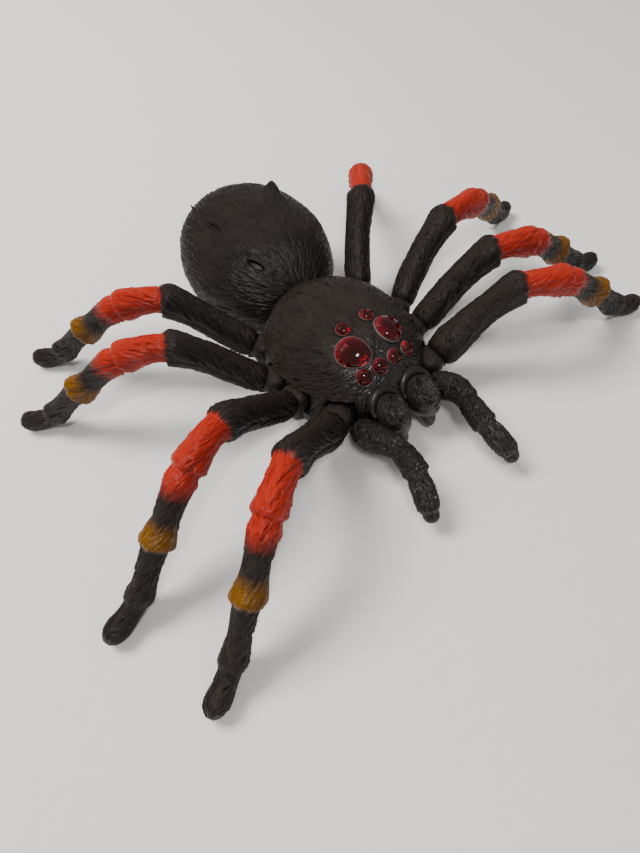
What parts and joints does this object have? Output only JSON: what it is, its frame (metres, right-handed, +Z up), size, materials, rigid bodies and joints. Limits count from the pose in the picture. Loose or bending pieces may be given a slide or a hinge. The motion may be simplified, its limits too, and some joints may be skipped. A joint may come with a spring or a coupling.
{
  "type": "walking spider toy",
  "caption": "Battery-driven tarantula toy with eight swinging soft legs on geared hubs, hidden drive wheels, hairy body shells and red domed eyes.",
  "frame": {"origin": "on the ground under the middle of the whole toy as it stands", "axes": "+Z up, head towards -Y, the spider's own left side towards +X"},
  "size_m": [0.2974, 0.2179, 0.0483],
  "materials": {
    "body_vinyl": "satin moulded hair relief",
    "leg_vinyl": "satin soft vinyl with orange and yellow airbrushed bands",
    "eye_red": "high gloss translucent",
    "black_plastic": "fine texture",
    "white_plastic": "smooth acetal",
    "steel": "plated",
    "tyre": "matte rubber",
    "cell": "sleeved cell",
    "board": "solder-masked board",
    "motor": "zinc plated can",
    "clear": "clear epoxy",
    "contact": "nickel plated spring brass"
  },
  "bodies": {
    "frame": {"abdomen_lower_shell": "body_vinyl", "abdomen_upper_shell": "body_vinyl", "battery_cells": "cell", "battery_contacts": "contact", "battery_door": "black_plastic", "battery_door_screw": "steel", "carapace_shell": "body_vinyl", "chassis_tray": "black_plastic", "chelicera_left": "body_vinyl", "chelicera_right": "body_vinyl", "circuit_board": "board", "compound_gear_pin": "steel", "eye_lenses_large": "eye_red", "eye_lenses_small": "eye_red", "eye_lights": "clear", "fangs": "body_vinyl", "gearbox_plate_left": "black_plastic", "gearbox_plate_right": "black_plastic", "gearbox_spacers": "steel", "leg_pivot_screws": "steel", "motor_can": "motor", "motor_strap": "steel", "pedipalp_left": "body_vinyl", "pedipalp_right": "body_vinyl", "rear_roller_pin": "steel", "shell_screws": "steel", "switch_body": "black_plastic"},
    "leg_left_1_swing": {"leg_left_1": "leg_vinyl", "leg_hub_left_1": "black_plastic"},
    "leg_left_2_swing": {"leg_left_2": "leg_vinyl", "leg_hub_left_2": "black_plastic"},
    "leg_left_3_swing": {"leg_left_3": "leg_vinyl", "leg_hub_left_3": "black_plastic"},
    "leg_left_4_swing": {"leg_left_4": "leg_vinyl", "leg_hub_left_4": "black_plastic"},
    "leg_right_1_swing": {"leg_right_1": "leg_vinyl", "leg_hub_right_1": "black_plastic"},
    "leg_right_2_swing": {"leg_right_2": "leg_vinyl", "leg_hub_right_2": "black_plastic"},
    "leg_right_3_swing": {"leg_right_3": "leg_vinyl", "leg_hub_right_3": "black_plastic"},
    "leg_right_4_swing": {"leg_right_4": "leg_vinyl", "leg_hub_right_4": "black_plastic"},
    "bar_left": {"drive_bar_left": "black_plastic"},
    "bar_right": {"drive_bar_right": "black_plastic"},
    "wheels": {"wheel_axle": "steel", "axle_gear": "white_plastic", "wheel_hubs": "white_plastic", "tyres": "tyre"},
    "crank": {"crank_shaft": "steel", "crank_gear": "white_plastic"},
    "compound": {"compound_gear": "white_plastic"},
    "pinion": {"motor_pinion": "white_plastic"},
    "roller": {"rear_roller": "black_plastic"},
    "switch": {"switch_knob": "black_plastic"}
  },
  "joints": [
    {"name": "leg_right_1_pivot", "type": "hinge", "parent": "frame", "child": "leg_right_1_swing", "pos_m": [-0.0284, -0.0422, 0.0125], "axis": [0, 0, 1], "range_deg": [-20.4, 1.6]},
    {"name": "leg_right_2_pivot", "type": "hinge", "parent": "frame", "child": "leg_right_2_swing", "pos_m": [-0.0359, -0.0222, 0.0125], "axis": [0, 0, 1], "range_deg": [-15.21, 1.21]},
    {"name": "leg_right_3_pivot", "type": "hinge", "parent": "frame", "child": "leg_right_3_swing", "pos_m": [-0.0382, -0.0082, 0.0125], "axis": [0, 0, 1], "range_deg": [-1.21, 15.21]},
    {"name": "leg_right_4_pivot", "type": "hinge", "parent": "frame", "child": "leg_right_4_swing", "pos_m": [-0.0315, 0.0119, 0.0125], "axis": [0, 0, 1], "range_deg": [-15.65, 1.25]},
    {"name": "leg_left_1_pivot", "type": "hinge", "parent": "frame", "child": "leg_left_1_swing", "pos_m": [0.0236, -0.0422, 0.0125], "axis": [0, 0, 1], "range_deg": [-20.42, 1.62]},
    {"name": "leg_left_2_pivot", "type": "hinge", "parent": "frame", "child": "leg_left_2_swing", "pos_m": [0.0311, -0.0222, 0.0125], "axis": [0, 0, 1], "range_deg": [-15.21, 1.21]},
    {"name": "leg_left_3_pivot", "type": "hinge", "parent": "frame", "child": "leg_left_3_swing", "pos_m": [0.0334, -0.0082, 0.0125], "axis": [0, 0, 1], "range_deg": [-1.21, 15.21]},
    {"name": "leg_left_4_pivot", "type": "hinge", "parent": "frame", "child": "leg_left_4_swing", "pos_m": [0.0267, 0.0119, 0.0125], "axis": [0, 0, 1], "range_deg": [-15.65, 1.25]},
    {"name": "bar_right_slide", "type": "slide", "parent": "frame", "child": "bar_right", "axis": [0, 1, 0], "range_m": [-0.00321, 0.00027]},
    {"name": "bar_left_slide", "type": "slide", "parent": "frame", "child": "bar_left", "axis": [0, 1, 0], "range_m": [-0.00027, 0.00321]},
    {"name": "wheel_spin", "type": "hinge", "parent": "frame", "child": "wheels", "pos_m": [-0.0024, 0.002, 0.011], "axis": [1, 0, 0], "continuous": true},
    {"name": "crank_spin", "type": "hinge", "parent": "frame", "child": "crank", "pos_m": [-0.0024, -0.0113, 0.01651], "axis": [1, 0, 0], "continuous": true},
    {"name": "compound_spin", "type": "hinge", "parent": "frame", "child": "compound", "pos_m": [-0.0024, -0.02322, 0.02061], "axis": [1, 0, 0], "continuous": true},
    {"name": "pinion_spin", "type": "hinge", "parent": "frame", "child": "pinion", "pos_m": [-0.0024, -0.03449, 0.01651], "axis": [1, 0, 0], "continuous": true},
    {"name": "roller_spin", "type": "hinge", "parent": "frame", "child": "roller", "pos_m": [-0.0024, 0.087, 0.0045], "axis": [1, 0, 0], "continuous": true},
    {"name": "switch_slide", "type": "slide", "parent": "frame", "child": "switch", "axis": [1, 0, 0], "range_m": [0, 0.0044]}
  ],
  "couplings": [
    {"joint": "leg_right_2_pivot", "follows": "leg_right_1_pivot", "ratio": 0.74468},
    {"joint": "leg_right_3_pivot", "follows": "leg_right_1_pivot", "ratio": -0.74468},
    {"joint": "leg_right_4_pivot", "follows": "leg_right_1_pivot", "ratio": 0.76596},
    {"joint": "leg_left_1_pivot", "follows": "leg_right_1_pivot", "ratio": 1},
    {"joint": "leg_left_2_pivot", "follows": "leg_right_1_pivot", "ratio": 0.74468},
    {"joint": "leg_left_3_pivot", "follows": "leg_right_1_pivot", "ratio": -0.74468},
    {"joint": "leg_left_4_pivot", "follows": "leg_right_1_pivot", "ratio": 0.76596},
    {"joint": "bar_right_slide", "follows": "leg_right_1_pivot", "m_per_rad": 0.0089505},
    {"joint": "bar_left_slide", "follows": "leg_right_1_pivot", "m_per_rad": -0.0089505},
    {"joint": "crank_spin", "follows": "wheel_spin", "ratio": -0.6},
    {"joint": "compound_spin", "follows": "wheel_spin", "ratio": 1.5},
    {"joint": "pinion_spin", "follows": "wheel_spin", "ratio": -4.5}
  ]
}
